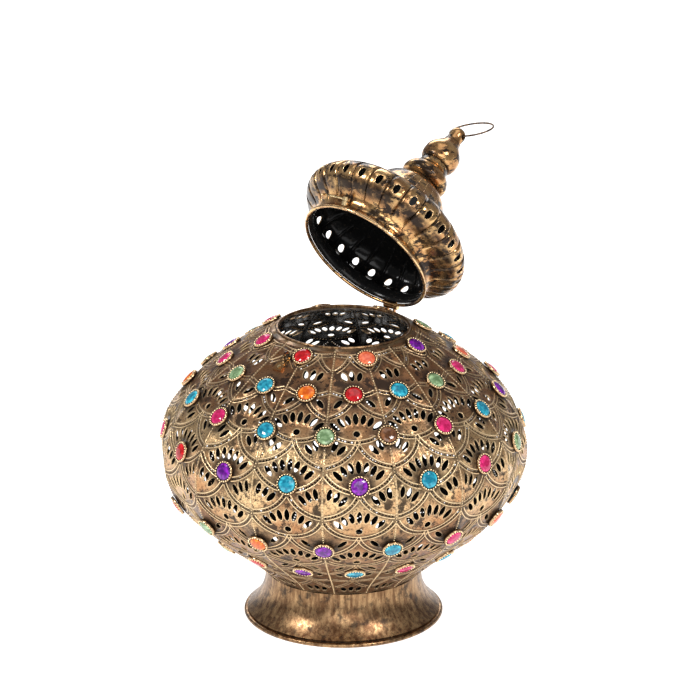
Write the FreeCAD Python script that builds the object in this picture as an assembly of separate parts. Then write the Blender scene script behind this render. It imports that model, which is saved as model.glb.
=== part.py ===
import FreeCAD, Part
import math
import os

# Candle lantern of pressed and pierced sheet metal, set with faceted acrylic stones.
# Millimetres. +Z is up, the origin is the centre of the foot's underside.
# The hinge is at +Y and the hook at -Y. The lid is modelled closed and then swung to
# its open stop, which is its rest position.

V = FreeCAD.Vector
UP = V(0, 0, 1)
CENTRE = V(0, 0, 0)

# ---- driving dimensions -------------------------------------------------------------
SHEET = 0.6                 # gores
SPUN = 0.8                  # lid, foot and pans
GAP = 0.05                  # solder line between pieces of one body
FOOT_HEIGHT = 28.2          # the table to the lower end of the gores
BELLY_DROP = 76.3           # the lower end of the gores to the widest ring
BELLY_Z = FOOT_HEIGHT + BELLY_DROP

GORES = 16
GORE_ANGLE = 360.0 / GORES
HALF_GORE = GORE_ANGLE / 2.0
FLAT_RATIO = math.cos(math.radians(HALF_GORE))
FRONT = -90.0               # azimuth of the middle of the first gore

# Seam line of the body: radius, height above the widest ring.
BODY_PROFILE = [(39.9, 71.0), (66.2, 55.0), (88.2, 37.1), (105.5, 10.2),
                (106.6, -4.2), (97.1, -29.8), (75.3, -51.3), (45.8, -76.3)]

# Rows of stones: radius, height above the widest ring, on the seams, every nth place.
STONE_ROWS = {"a": (47.6, 67.8, True, 2), "b": (66.5, 51.5, False, 1),
              "c": (88.1, 34.8, True, 1), "d": (103.2, 12.1, False, 1),
              "e": (100.0, -28.4, True, 1), "f": (78.0, -53.9, False, 1)}
# Colours of each row, going round anticlockwise seen from above, starting just to the
# right of the front.
ROW_COLOURS = {
    "a": "red coral purple green blue orange pink pink",
    "b": "red blue green pink coral blue purple green orange red blue purple pink green blue orange",
    "c": "blue green brown pink blue purple pink orange green blue red purple green orange blue pink",
    "d": "purple blue pink green blue orange purple red blue green pink orange pink red purple blue",
    "e": "orange purple blue pink coral blue green red purple blue orange pink green blue red green",
    "f": "blue pink blue orange green purple red pink blue green orange blue pink green red purple"}
STONE_R = 4.9
STONE_TABLE_R = 2.9
STONE_GIRDLE = 1.1
STONE_HEIGHT = 2.5
SETTING_R = 6.1
SETTING_WALL = 1.1
SETTING_HEIGHT = 2.0
SETTING_FLOOR = 0.4

MOUTH_R = 38.1
MOUTH_BEAD_R = 0.8
MOUTH_Z = BELLY_Z + 71.2
SKIRT = 0.5                 # the strip under the ends of the gores
SKIRT_GAP = 0.15

PIVOT = V(0, 43.2, BELLY_Z + 72.7)
OPEN_ANGLE = 57.6
KNUCKLE_R = 1.55
KNUCKLE_HALF = 4.6          # half the length of the hinge barrel
LID_KNUCKLE_HALF = 1.6
RUN_GAP = 0.3               # between knuckles, along the pin
PIN_R = 0.7
PIN_FIT = 0.06
STRAP = 0.8
STRAP_HALF = 2.9
STRAP_LIFT = 0.15
HINGE_RIVETS = [48.0, 52.2]   # distance from the axis
CATCH_RIVETS = [56.4]
RIVET_R = 0.6
RIVET_HEAD_R = 1.1
RIVET_HEAD = 0.5

LIP_Z = BELLY_Z + 72.2      # middle of the lid's rolled lip, lid closed
LIP_R = 40.3
LIP_BEAD_R = 1.0
# Outside of the lid: radius, height above the lip.
DOME_PROFILE = [(40.1, 1.4), (38.7, 5.0), (40.6, 8.6), (46.0, 11.9), (50.6, 15.5),
                (52.7, 20.2), (51.5, 25.4), (48.0, 29.6), (42.6, 33.2), (36.5, 36.0),
                (29.8, 39.2), (25.3, 43.4), (22.2, 48.6), (19.3, 52.9), (14.8, 56.6),
                (11.0, 59.5)]
BULB_PROFILE = [(11.0, 59.6), (13.6, 61.4), (14.4, 64.0), (13.3, 67.0), (10.9, 70.0),
                (9.6, 72.4), (8.9, 75.0)]
BALL_PROFILE = [(8.9, 75.1), (10.6, 77.4), (11.3, 81.2), (10.8, 84.8), (8.9, 88.1),
                (6.5, 91.2), (5.2, 94.0)]
CAP_PROFILE = [(5.2, 94.1), (4.7, 96.0), (4.8, 98.4), (4.7, 101.0), (3.5, 103.0), (1.6, 103.8)]
SHOULDER_R = 37.4           # the shoulder is a second piece, joined inside this radius
LID_SLOTS = 28
SLOT_R = 52.3
SLOT_HEIGHT_ON_LID = 19.7
SLOT_TURN = 7.6             # azimuth of the first slot, lid closed
SLOT_LENGTH = 6.6
SLOT_WIDTH = 3.8

RING_R = 13.0
RING_WIRE_R = 0.6
RING_HOLE_R = 1.8
RING_HOLE_Z = LIP_Z + 99.6
RING_LEAN = 27.0            # leans back from the lid's axis
RING_ROLL = 4.0
RING_YAW = -8.2

HOOK_TILT = 45.0            # the hook's post points outwards and up
HOOK_POST_R = 1.0
HOOK_EYE_R = 2.1
HOOK_EYE_THICK = 1.2
HOOK_WIRE_R = 0.65
HOOK_REACH = 14.5
HOOK_TIP = 3.4
HOOK_PIVOT = V(0, -41.8, LIP_Z + 5.6)
EYE_PLATE_X = 1.3           # the catch's upright stands beside the hook
EYE_HOLE_R = 1.5
EYE_R = 2.7

PAN_R = 34.0
PAN_RIM = 3.2
CUP_R = 20.5
CUP_DEPTH = 13.9
PLATE_R = 43.2
PLATE_Z = 23.9
PAN_RIVET_RADIUS = 27.5
PAN_RIVETS = 3

# Foot: radius, height above the table.
FOOT_PROFILE = [(45.4, 28.0), (46.0, 21.0), (48.8, 12.8), (53.2, 6.8), (56.4, 3.7)]
FOOT_RING_IN = 54.2
FOOT_RING_OUT = 58.4
FOOT_RING_HEIGHT = 2.6


# ---- helpers ------------------------------------------------------------------------
def spline(points):
    curve = Part.BSplineCurve()
    curve.interpolate([V(radius, 0, height) for radius, height in points])
    return curve


def outline(points):
    edges = [Part.makeLine(V(*a), V(*b)) for a, b in zip(points, points[1:] + points[:1])]
    return Part.Face(Part.Wire(edges))


def ring(points):
    """Solid of revolution about Z of a closed outline given as radius, height."""
    face = outline([(radius, 0, height) for radius, height in points])
    return face.revolve(CENTRE, UP, 360)


def inner_points(curve, thickness, count):
    """Points on the inside of a sheet whose outside is the curve."""
    found = []
    for step in range(count):
        at = curve.FirstParameter + (curve.LastParameter - curve.FirstParameter) * step / (count - 1)
        along = curve.tangent(at)[0]
        inward = V(along.z, 0, -along.x) if along.z < 0 else V(-along.z, 0, along.x)
        if inward.x > 0:
            inward = -inward
        point = curve.value(at) + inward * thickness
        found.append((point.x, point.z))
    return found


def sheet_face(points, thickness):
    """Section of a sheet: the outside curve, the inside curve and the two cut edges."""
    outside = spline(points)
    inside = spline(inner_points(outside, thickness, 2 * len(points)))
    edges = [outside.toShape(), inside.toShape(),
             Part.makeLine(outside.StartPoint, inside.StartPoint),
             Part.makeLine(outside.EndPoint, inside.EndPoint)]
    return Part.Face(Part.Wire(Part.__sortEdges__(edges)))


def filled(points):
    """Section of everything between a profile and the Z axis."""
    curve = spline(points)
    first = V(0, 0, curve.StartPoint.z)
    last = V(0, 0, curve.EndPoint.z)
    edges = [curve.toShape(), Part.makeLine(first, curve.StartPoint),
             Part.makeLine(last, curve.EndPoint), Part.makeLine(first, last)]
    return Part.Face(Part.Wire(Part.__sortEdges__(edges)))


def raised(points, base):
    return [(radius, height + base) for radius, height in points]


def spin(points, thickness):
    return sheet_face(points, thickness).revolve(CENTRE, UP, 360)


def wire_ring(radius, wire, height):
    return Part.makeTorus(radius, wire, V(0, 0, height), UP)


def surface_at(curve, radius, height):
    """Nearest point of a profile, and how far its outward normal tilts above level."""
    at = curve.parameter(V(radius, 0, height))
    along = curve.tangent(at)[0]
    outward = V(-along.z, 0, along.x)
    if outward.x < 0:
        outward = -outward
    return curve.value(at), math.degrees(math.atan2(outward.z, outward.x))


def set_on(shape, point, tilt, azimuth, lift=0.0):
    """Moves a shape built on the XY plane so that it stands on a sloping surface."""
    placed = shape.copy()
    placed.translate(V(0, 0, lift))
    placed.rotate(CENTRE, V(0, 1, 0), 90.0 - tilt)
    placed.translate(point)
    placed.rotate(CENTRE, UP, azimuth)
    return placed


def rivet(grip):
    """Rivet along Z through a grip that ends at z = 0, with a head at each end."""
    head = Part.makeCylinder(RIVET_HEAD_R, RIVET_HEAD, CENTRE)
    tail = Part.makeCylinder(RIVET_HEAD_R, RIVET_HEAD, V(0, 0, -grip - RIVET_HEAD))
    shank = Part.makeCylinder(RIVET_R, grip, V(0, 0, -grip))
    return head.fuse([shank, tail]).removeSplitter()


def rivet_hole():
    return Part.makeCylinder(RIVET_R, 6.0, V(0, 0, -4.0))


def box(x0, x1, y0, y1, z0, z1):
    return Part.makeBox(x1 - x0, y1 - y0, z1 - z0, V(x0, y0, z0))


def without(shape, tools):
    for tool in tools:
        shape = shape.cut(tool)
    return shape


def largest(shape):
    return max(shape.Solids, key=lambda solid: solid.Volume)


def opened(shape):
    """Swings a lid piece from closed to the open stop."""
    swung = shape.copy()
    swung.rotate(PIVOT, V(1, 0, 0), -OPEN_ANGLE)
    return swung


def save(name, shapes):
    shape = shapes[0] if len(shapes) == 1 else Part.makeCompound(shapes)
    shape.exportStep("parts/" + name + ".step")


SEAM_CURVE = spline(raised(BODY_PROFILE, BELLY_Z))
FLAT_PROFILE = raised([(r * FLAT_RATIO, z) for r, z in BODY_PROFILE], BELLY_Z)
FLAT_CURVE = spline(FLAT_PROFILE)


# ---- body ---------------------------------------------------------------------------
def make_gore(azimuth):
    """One flat-faced petal: bent only along its length, cut to a wedge at its seams."""
    half_width = BODY_PROFILE[4][0] * math.tan(math.radians(HALF_GORE)) + 2.0
    slab = sheet_face(FLAT_PROFILE, SHEET).extrude(V(0, 2 * half_width, 0))
    slab.translate(V(0, -half_width, 0))
    reach = 130.0
    side = reach * math.tan(math.radians(HALF_GORE))
    wedge = outline([(0, 0, 0), (reach, -side, 0), (reach, side, 0)])
    wedge = wedge.extrude(V(0, 0, BELLY_Z + 90.0))
    gore = slab.common(wedge)
    gore.rotate(CENTRE, UP, azimuth)
    return gore


def shoulder_height(distance):
    """Rough height of the shoulder at a distance from the axis."""
    return BELLY_Z + 72.0 - 0.6 * (distance - 40.0)


def shoulder_rivet(distance, azimuth):
    """Rivet through a strip and the gore under it, and its hole."""
    point, tilt = surface_at(FLAT_CURVE, distance, shoulder_height(distance))
    top = STRAP_LIFT + STRAP + GAP
    return (set_on(rivet(top + SHEET), point, tilt, azimuth, top),
            set_on(rivet_hole(), point, tilt, azimuth))


def make_gores():
    for number in range(GORES):
        azimuth = FRONT + GORE_ANGLE * number
        gore = make_gore(azimuth)
        for distance in {0: CATCH_RIVETS, GORES // 2: HINGE_RIVETS}.get(number, []):
            gore = gore.cut(shoulder_rivet(distance, azimuth)[1])
        save("gore_%02d" % (number + 1), [gore])


def make_mouth_ring():
    """Rolled bead of the mouth with a skirt soldered under the ends of the gores."""
    bead = wire_ring(MOUTH_R, MOUTH_BEAD_R, MOUTH_Z)
    over = []
    under = []
    for radius, height in [(39.3, BELLY_Z + 70.9), (43.2, BELLY_Z + 68.6)]:
        point, tilt = surface_at(FLAT_CURVE, radius, height)
        rise = math.radians(tilt)
        top = SHEET + SKIRT_GAP
        over.append((point.x - top * math.cos(rise), point.z - top * math.sin(rise)))
        low = top + SKIRT
        under.append((point.x - low * math.cos(rise), point.z - low * math.sin(rise)))
    inside = MOUTH_R - MOUTH_BEAD_R + 0.1
    neck = [(inside, MOUTH_Z - 1.0), (inside, MOUTH_Z - 0.2), (MOUTH_R + 0.1, MOUTH_Z - 0.6)]
    skirt = ring(neck + over + under[::-1])
    save("mouth_ring", [bead.fuse(skirt).removeSplitter()])


def make_collar_and_pans():
    collar = ring([(43.25, PLATE_Z), (40.0, PLATE_Z), (40.0, PLATE_Z - 0.7),
                   (43.25, PLATE_Z - 0.7), (43.25, 20.0), (43.95, 20.0), (43.95, 30.0),
                   (43.25, 30.0)])
    save("lower_collar", [collar])
    plate = Part.makeCylinder(PLATE_R, SPUN, V(0, 0, PLATE_Z))
    floor = PLATE_Z + SPUN
    pan = ring([(0, floor), (PAN_R, floor), (PAN_R + 1.6, floor + PAN_RIM),
                (PAN_R + 0.9, floor + PAN_RIM), (PAN_R - 0.5, floor + 0.7),
                (0, floor + 0.7)])
    rivets = []
    for number in range(PAN_RIVETS):
        turn = FRONT + 360.0 * number / PAN_RIVETS
        place = V(PAN_RIVET_RADIUS, 0, floor + 0.7)
        rivets.append(set_on(rivet(SPUN + 0.7), place, 90.0, turn))
        hole = set_on(rivet_hole(), place, 90.0, turn)
        plate = plate.cut(hole)
        pan = pan.cut(hole)
    save("base_plate", [plate])
    save("candle_pan", [pan])
    save("pan_rivets", rivets)
    base = floor + 0.7
    outer = CUP_R + 0.7
    top = base + 0.7 + CUP_DEPTH
    cup = ring([(0, base), (outer, base), (outer, top), (CUP_R, top),
                (CUP_R, base + 0.7), (0, base + 0.7)])
    save("candle_cup", [cup])


def make_foot():
    save("foot_shell", [spin(FOOT_PROFILE, SPUN)])
    edge = FOOT_RING_HEIGHT / 2.0
    low = ring([(FOOT_RING_IN, 0), (FOOT_RING_OUT - edge, 0),
                (FOOT_RING_OUT - edge, FOOT_RING_HEIGHT), (FOOT_RING_IN, FOOT_RING_HEIGHT)])
    roll = wire_ring(FOOT_RING_OUT - edge, edge, edge)
    save("foot_ring", [low.fuse(roll).removeSplitter()])


# ---- stones -------------------------------------------------------------------------
def make_setting():
    """Round cup with an upright wall, standing on the XY plane."""
    wall = Part.makeCylinder(SETTING_R, SETTING_HEIGHT, CENTRE)
    seat = Part.makeCylinder(SETTING_R - SETTING_WALL, SETTING_HEIGHT, V(0, 0, SETTING_FLOOR))
    return wall.cut(seat)


def make_stone():
    """Flat-backed stone: a low girdle under a tapered crown with a flat table."""
    base = SETTING_FLOOR
    girdle = Part.makeCylinder(STONE_R, STONE_GIRDLE, V(0, 0, base))
    crown = Part.makeCone(STONE_R, STONE_TABLE_R, STONE_HEIGHT - STONE_GIRDLE,
                          V(0, 0, base + STONE_GIRDLE))
    return girdle.fuse(crown).removeSplitter()


def make_stones():
    by_colour = {}
    setting = make_setting()
    stone = make_stone()
    for row, (radius, height, on_seam, every) in STONE_ROWS.items():
        curve = SEAM_CURVE if on_seam else FLAT_CURVE
        point, tilt = surface_at(curve, radius, BELLY_Z + height)
        settings = []
        start = FRONT + HALF_GORE if on_seam else FRONT + GORE_ANGLE * 2
        for number, colour in enumerate(ROW_COLOURS[row].split()):
            azimuth = start + GORE_ANGLE * every * number
            settings.append(set_on(setting, point, tilt, azimuth, GAP))
            by_colour.setdefault(colour, []).append(set_on(stone, point, tilt, azimuth, GAP))
        save("settings_row_" + row, settings)
    for colour, stones in by_colour.items():
        save("stones_" + colour, stones)


# ---- hinge --------------------------------------------------------------------------
def barrel(x0, x1, bore):
    outer = Part.makeCylinder(KNUCKLE_R, x1 - x0, V(x0, PIVOT.y, PIVOT.z), V(1, 0, 0))
    return outer.cut(Part.makeCylinder(bore, x1 - x0, V(x0, PIVOT.y, PIVOT.z), V(1, 0, 0)))


def extruded_strap(points, half_width):
    """Bent strip: a closed outline in the YZ plane, carried across X."""
    face = outline([(-half_width, y, z) for y, z in points])
    return face.extrude(V(2 * half_width, 0, 0))


def strap_outline(near, far, steps):
    """Outline, as distance out and height, of a strip lying down a gore."""
    under = []
    over = []
    for step in range(steps + 1):
        distance = near + (far - near) * step / steps
        point, tilt = surface_at(FLAT_CURVE, distance, shoulder_height(distance))
        rise = math.radians(tilt)
        for points, lift in ((under, STRAP_LIFT), (over, STRAP_LIFT + STRAP)):
            points.append((point.x + lift * math.cos(rise), point.z + lift * math.sin(rise)))
    return under + over[::-1]


def make_hinge_body_leaf():
    """Two knuckles on a strap that lies down the rear gore."""
    points = strap_outline(42.6, 55.0, 4)
    strap = extruded_strap(points, STRAP_HALF)
    web_top = PIVOT.z - PIN_R
    half = KNUCKLE_R * 0.5
    leaf = strap
    for side in (-1, 1):
        x0, x1 = sorted([side * (LID_KNUCKLE_HALF + RUN_GAP), side * KNUCKLE_HALF])
        near_x, far_x = sorted([side * (LID_KNUCKLE_HALF + RUN_GAP), side * STRAP_HALF])
        web = box(near_x, far_x, PIVOT.y - half, PIVOT.y + half, points[0][1] - 0.2, web_top)
        leaf = leaf.fuse([web, Part.makeCylinder(KNUCKLE_R, x1 - x0, V(x0, PIVOT.y, PIVOT.z),
                                                 V(1, 0, 0))])
    leaf = leaf.cut(Part.makeCylinder(PIN_R, 4 * KNUCKLE_HALF,
                                      V(-2 * KNUCKLE_HALF, PIVOT.y, PIVOT.z), V(1, 0, 0)))
    rivets = []
    for distance in HINGE_RIVETS:
        pin, hole = shoulder_rivet(distance, 90.0)
        leaf = leaf.cut(hole)
        rivets.append(pin)
    save("hinge_body_leaf", [leaf.removeSplitter()])
    save("hinge_body_rivets", rivets)


def make_hinge_pin():
    length = 2 * KNUCKLE_HALF
    pin = Part.makeCylinder(PIN_R, length, V(-KNUCKLE_HALF, PIVOT.y, PIVOT.z), V(1, 0, 0))
    heads = [Part.makeCylinder(KNUCKLE_R * 0.8, RIVET_HEAD, V(x, PIVOT.y, PIVOT.z), V(1, 0, 0))
             for x in (-KNUCKLE_HALF - RIVET_HEAD, KNUCKLE_HALF)]
    save("hinge_pin", [pin.fuse(heads).removeSplitter()])


def make_hinge_lid_leaf():
    """Middle knuckle on a strap bent over the lip and up the lid's collar."""
    knuckle = Part.makeCylinder(KNUCKLE_R, 2 * LID_KNUCKLE_HALF,
                                V(-LID_KNUCKLE_HALF, PIVOT.y, PIVOT.z), V(1, 0, 0))
    floor = LIP_Z + LIP_BEAD_R + 2 * GAP
    neck = box(-LID_KNUCKLE_HALF, LID_KNUCKLE_HALF, 40.6, PIVOT.y, floor, floor + STRAP)
    plate = box(-KNUCKLE_HALF, KNUCKLE_HALF, 39.1, 41.2, floor, floor + STRAP)
    upright = box(-KNUCKLE_HALF, KNUCKLE_HALF, 39.1, 39.1 + STRAP, floor, LIP_Z + 7.2)
    leaf = knuckle.fuse([neck, plate, upright]).removeSplitter()
    bore = Part.makeCylinder(PIN_R + PIN_FIT, 4 * KNUCKLE_HALF,
                             V(-2 * KNUCKLE_HALF, PIVOT.y, PIVOT.z), V(1, 0, 0))
    leaf = largest(without(leaf, [bore] + lid_core()))
    head = Part.makeCylinder(RIVET_HEAD_R, RIVET_HEAD, V(3.0, 39.1 + STRAP, LIP_Z + 5.0), V(0, 1, 0))
    shank = Part.makeCylinder(RIVET_R, STRAP + 0.6, V(3.0, 38.5, LIP_Z + 5.0), V(0, 1, 0))
    leaf = leaf.cut(shank).cut(shank.mirror(CENTRE, V(1, 0, 0)))
    pin = head.fuse(without(shank, lid_core())).removeSplitter()
    save("hinge_lid_leaf", [opened(leaf)])
    save("hinge_lid_rivets", [opened(pin), opened(pin.mirror(CENTRE, V(1, 0, 0)))])


# ---- lid ----------------------------------------------------------------------------
def make_lid():
    dome = spin(raised(DOME_PROFILE, LIP_Z), SPUN)
    curve = spline(raised(DOME_PROFILE, LIP_Z))
    point, tilt = surface_at(curve, SLOT_R, LIP_Z + SLOT_HEIGHT_ON_LID)
    oval = Part.Face(Part.Wire([Part.Ellipse(CENTRE, SLOT_LENGTH / 2, SLOT_WIDTH / 2).toShape()]))
    punch = oval.extrude(V(0, 0, 6.0))
    punches = [set_on(punch, point, tilt, SLOT_TURN + 360.0 * n / LID_SLOTS, -3.0)
               for n in range(LID_SLOTS)]
    inside = Part.makeCylinder(SHOULDER_R, 80.0, V(0, 0, LIP_Z))
    join = Part.makeCylinder(SHOULDER_R + GAP, 80.0, V(0, 0, LIP_Z))
    save("lid_dome", [opened(without(dome, punches + [join]))])
    save("lid_shoulder", [opened(dome.common(inside))])
    save("lid_lip", [opened(wire_ring(LIP_R, LIP_BEAD_R, LIP_Z))])
    save("finial_bulb", [opened(spin(raised(BULB_PROFILE, LIP_Z), SPUN))])
    save("finial_ball", [opened(spin(raised(BALL_PROFILE, LIP_Z), SPUN))])


def make_cap_and_ring():
    """Closed cap with a cross hole, and the wire ring that hangs through it."""
    cap = filled(raised(CAP_PROFILE, LIP_Z)).revolve(CENTRE, UP, 360)
    hole = Part.makeCylinder(RING_HOLE_R, 20.0, V(-10.0, 0, RING_HOLE_Z), V(1, 0, 0))
    save("finial_cap", [opened(cap.cut(hole))])
    # The wire bows through the hole, so its middle sits a little below the hole's axis.
    half_cap = 4.7
    bow = (RING_R - math.sqrt(RING_R ** 2 - half_cap ** 2)) / 2.0
    loop = Part.makeTorus(RING_R, RING_WIRE_R, V(0, 0, RING_R - bow), V(0, 1, 0))
    loop.rotate(CENTRE, V(0, 1, 0), RING_ROLL)
    loop.rotate(CENTRE, UP, RING_YAW)
    loop.rotate(CENTRE, V(1, 0, 0), -RING_LEAN)
    loop.translate(V(0, 0, RING_HOLE_Z))
    save("hanging_ring", [opened(loop)])


def make_hook():
    """Wire hook on a post at the front of the lid, lying sideways along the collar."""
    tilt = math.radians(HOOK_TILT)
    out = V(0, -math.cos(tilt), math.sin(tilt))
    half = HOOK_EYE_THICK / 2.0
    start = HOOK_PIVOT - out * 3.6
    post = Part.makeCylinder(HOOK_POST_R, 3.6 + half + 0.1, start, out)
    head = Part.makeCylinder(1.7, 0.6, HOOK_PIVOT + out * (half + 0.1), out)
    shoulder = Part.makeCylinder(1.7, 3.0 - half, start, out)
    post = without(post.fuse([shoulder, head]).removeSplitter(), lid_core())
    save("hook_post", [opened(post)])
    eye = Part.makeCylinder(HOOK_EYE_R, HOOK_EYE_THICK, HOOK_PIVOT - out * half, out)
    left = V(-1, 0, 0)
    down = V(0, -math.sin(tilt), -math.cos(tilt))
    end = HOOK_PIVOT + left * HOOK_REACH
    arm = Part.makeCylinder(HOOK_WIRE_R, HOOK_REACH - 1.6, HOOK_PIVOT + left * 1.6, left)
    elbow = Part.makeSphere(HOOK_WIRE_R, end)
    tip = Part.makeCylinder(HOOK_WIRE_R, HOOK_TIP, end, down)
    point = Part.makeSphere(HOOK_WIRE_R, end + down * HOOK_TIP)
    hook = eye.fuse([arm, elbow, tip, point]).removeSplitter()
    hook = hook.cut(Part.makeCylinder(HOOK_POST_R + PIN_FIT, 4.0, HOOK_PIVOT - out * 2.0, out))
    save("latch_hook", [opened(hook)])


def make_catch():
    """Small plate riveted to the front gore, with an upright eye for the hook."""
    tilt = math.radians(HOOK_TILT)
    down = V(0, -math.sin(tilt), -math.cos(tilt))
    eye_centre = HOOK_PIVOT + down * HOOK_REACH
    face = outline([(-3.2, -y, z) for y, z in strap_outline(48.6, 58.6, 4)])
    plate = face.extrude(V(6.0, 0, 0))
    lug = Part.makeCylinder(EYE_R, STRAP, V(EYE_PLATE_X, eye_centre.y, eye_centre.z), V(1, 0, 0))
    root = box(EYE_PLATE_X, EYE_PLATE_X + STRAP, eye_centre.y - EYE_R, eye_centre.y + EYE_R,
               eye_centre.z - 6.0, eye_centre.z)
    catch = plate.fuse([lug, root.cut(filled_gore())])
    catch = catch.cut(Part.makeCylinder(EYE_HOLE_R, 4.0, V(0, eye_centre.y, eye_centre.z), V(1, 0, 0)))
    pin, hole = shoulder_rivet(CATCH_RIVETS[0], FRONT)
    save("catch_eye", [catch.cut(hole).removeSplitter()])
    save("catch_rivet", [pin])


def filled_gore():
    """Everything under the front gore, raised by the solder line."""
    core = filled(FLAT_PROFILE).extrude(V(0, 20.0, 0))
    core.translate(V(2 * GAP, -10.0, 2 * GAP))
    core.rotate(CENTRE, UP, FRONT)
    return core


def lid_core():
    """The lid filled in, its sheet and its lip, used to trim what is fixed to them."""
    profile = raised(DOME_PROFILE, LIP_Z)
    return [filled(profile).revolve(CENTRE, UP, 360), spin(profile, SPUN),
            wire_ring(LIP_R, LIP_BEAD_R, LIP_Z)]


os.makedirs("parts", exist_ok=True)
make_gores()
make_mouth_ring()
make_collar_and_pans()
make_foot()
make_stones()
make_hinge_body_leaf()
make_hinge_pin()
make_lid()
make_cap_and_ring()
make_hinge_lid_leaf()
make_hook()
make_catch()
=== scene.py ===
import math
import random

import bpy
import numpy as np
from mathutils import Matrix, Vector
from mathutils.geometry import delaunay_2d_cdt


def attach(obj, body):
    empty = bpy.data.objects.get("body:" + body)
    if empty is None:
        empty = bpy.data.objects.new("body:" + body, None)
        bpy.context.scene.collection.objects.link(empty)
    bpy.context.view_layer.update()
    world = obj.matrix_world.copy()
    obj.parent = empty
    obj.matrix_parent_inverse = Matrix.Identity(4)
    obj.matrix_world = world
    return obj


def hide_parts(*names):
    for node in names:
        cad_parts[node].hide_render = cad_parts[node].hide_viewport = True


# Looks of the candle lantern. Shapes are worked out in millimetres and stored in metres;
# the camera and the lights are placed in metres.

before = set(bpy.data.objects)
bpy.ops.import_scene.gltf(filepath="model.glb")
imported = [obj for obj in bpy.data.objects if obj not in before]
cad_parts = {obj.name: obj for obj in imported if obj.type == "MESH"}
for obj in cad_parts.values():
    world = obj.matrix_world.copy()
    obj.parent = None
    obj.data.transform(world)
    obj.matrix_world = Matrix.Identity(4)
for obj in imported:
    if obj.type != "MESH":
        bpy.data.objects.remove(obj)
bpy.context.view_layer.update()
random.seed(7)

# ---- driving dimensions, mm ---------------------------------------------------------
BELLY_Z = 104.5
SHEET = 0.6
GORES = 16
GORE_ANGLE = 360.0 / GORES
FLAT_RATIO = math.cos(math.radians(GORE_ANGLE / 2))
FLAT_SLOPE = math.tan(math.radians(GORE_ANGLE / 2))
FRONT = -90.0
BODY_PROFILE = [(39.9, 71.0), (66.2, 55.0), (88.2, 37.1), (105.5, 10.2),
                (106.6, -4.2), (97.1, -29.8), (75.3, -51.3), (45.8, -76.3)]
# Rows of stones: radius, height above the belly, on the seams or not, every nth place.
STONE_ROWS = {"a": (47.6, 67.8, True, 2), "b": (66.5, 51.5, False, 1),
              "c": (88.1, 34.8, True, 1), "d": (103.2, 12.1, False, 1),
              "e": (100.0, -28.4, True, 1), "f": (78.0, -53.9, False, 1)}
ROW_COLOURS = {
    "a": "red coral purple green blue orange pink pink",
    "b": "red blue green pink coral blue purple green orange red blue purple pink green blue orange",
    "c": "blue green brown pink blue purple pink orange green blue red purple green orange blue pink",
    "d": "purple blue pink green blue orange purple red blue green pink orange pink red purple blue",
    "e": "orange purple blue pink coral blue green red purple blue orange pink green blue red green",
    "f": "blue pink blue orange green purple red pink blue green orange blue pink green red purple"}
GAP = 0.05                  # between a stone's cup and the gore
SETTING_R = 6.1
BEAD_RING_R = 5.5
BEADS = 22
BEAD_R = 0.56
BEAD_HEIGHT = 1.5

# Embossed scales of a gore: columns across, rows down from the mouth.
COLUMN = 21.0
PITCH = 28.9
FIRST_ROW = 5.4
ROWS = 8
ARC_R = 22.5
ARC_SPAN = 70.0             # degrees each side of the lowest point
ARC_STEPS = 44
ARC_ENDS = (1.0, 3.5)       # no arc this near to the mouth and to the foot
SEAM_MARGIN = 0.75
SLOT_MARGIN = 1.25
SLOT_ENDS = (6.0, 4.0)
SLOT_TO_CUP = 0.7
FAN_DROP = 3.3              # the petals point at a place this far under the arc
FAN_R = 17.5
FAN_STEP = 14.2
PETALS = [7.5, 6.8, 6.8, 7.4]   # lengths, from the middle petal outwards
PETAL_WIDTH = 3.1
PETAL_TAPER = 1.2           # above one, the ends of a petal are pointed
FOCUS_RISE = 4.8
FOCUS_R = 1.95
RIM = 0.5                   # width of the raised edge round a slot
RIM_HEIGHT = 0.22
DOT_R = 0.6
DOT_STEP = 1.85
DOT_OFFSET = 0.33
DOT_APART = 1.6
DOT_MARGIN = 1.0
DOT_ENDS = (1.5, 2.0)
DOT_TO_CUP = 0.4
# Sections of the two fine lines either side of an arc's row of dots: offset from the
# arc, height, wear, dirt. Then the offsets at which a dot would cut into them.
CORDON = [(-1.3, 0.0, 0.0, 1.0), (-1.05, 0.32, 0.9, 0.0),
          (-0.7, 0.32, 1.0, 0.0), (-0.4, 0.0, 0.1, 1.0)]
RAIL = [(1.05, 0.0, 0.1, 1.0), (1.3, 0.26, 0.9, 0.0),
        (1.6, 0.26, 0.8, 0.0), (1.9, 0.0, 0.0, 1.0)]
LINE_OFFSETS = [(-1.45, -0.1), (0.75, 2.1)]
COVERED = (5.5, 23.0)       # half width and length hidden by the hinge or the latch
GRID_ROW = 2.9              # spacing of the plain points between the holes
GRID_STEP = 3.2
GRID_MARGIN = 0.9
GRID_TO_SLOT = 1.2
GRID_TO_DOT = 1.1
CROSSING = (0.0, 0.3, -1)   # rise, wear and hole of a point made where edges cross
# How far the brass is darkened, down a gore: distance, amount. It is darkened towards the mouth and
# the foot; the clear, paler gold band round the belly is a painted reflection of the bright floor and
# softbox.
TARNISH_AND_REFLECTION = ([0.0, 55.0, 70.0, 105.0, 135.0, 160.0], [1.0, 0.9, 0.15, 0.2, 0.85, 1.0])
# Dirt: from where to where it fades round a cup, the middle and the half width of the
# dark line along an arc, and from where to where it builds up towards the foot.
CUP_DIRT = (1.0, 8.0)
ARC_DIRT = (0.8, 3.0)
FOOT_DIRT = (135.0, 180.0)
SEAM_BEAD_R = 0.40
SEAM_BEAD_STEP = 1.7

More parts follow.
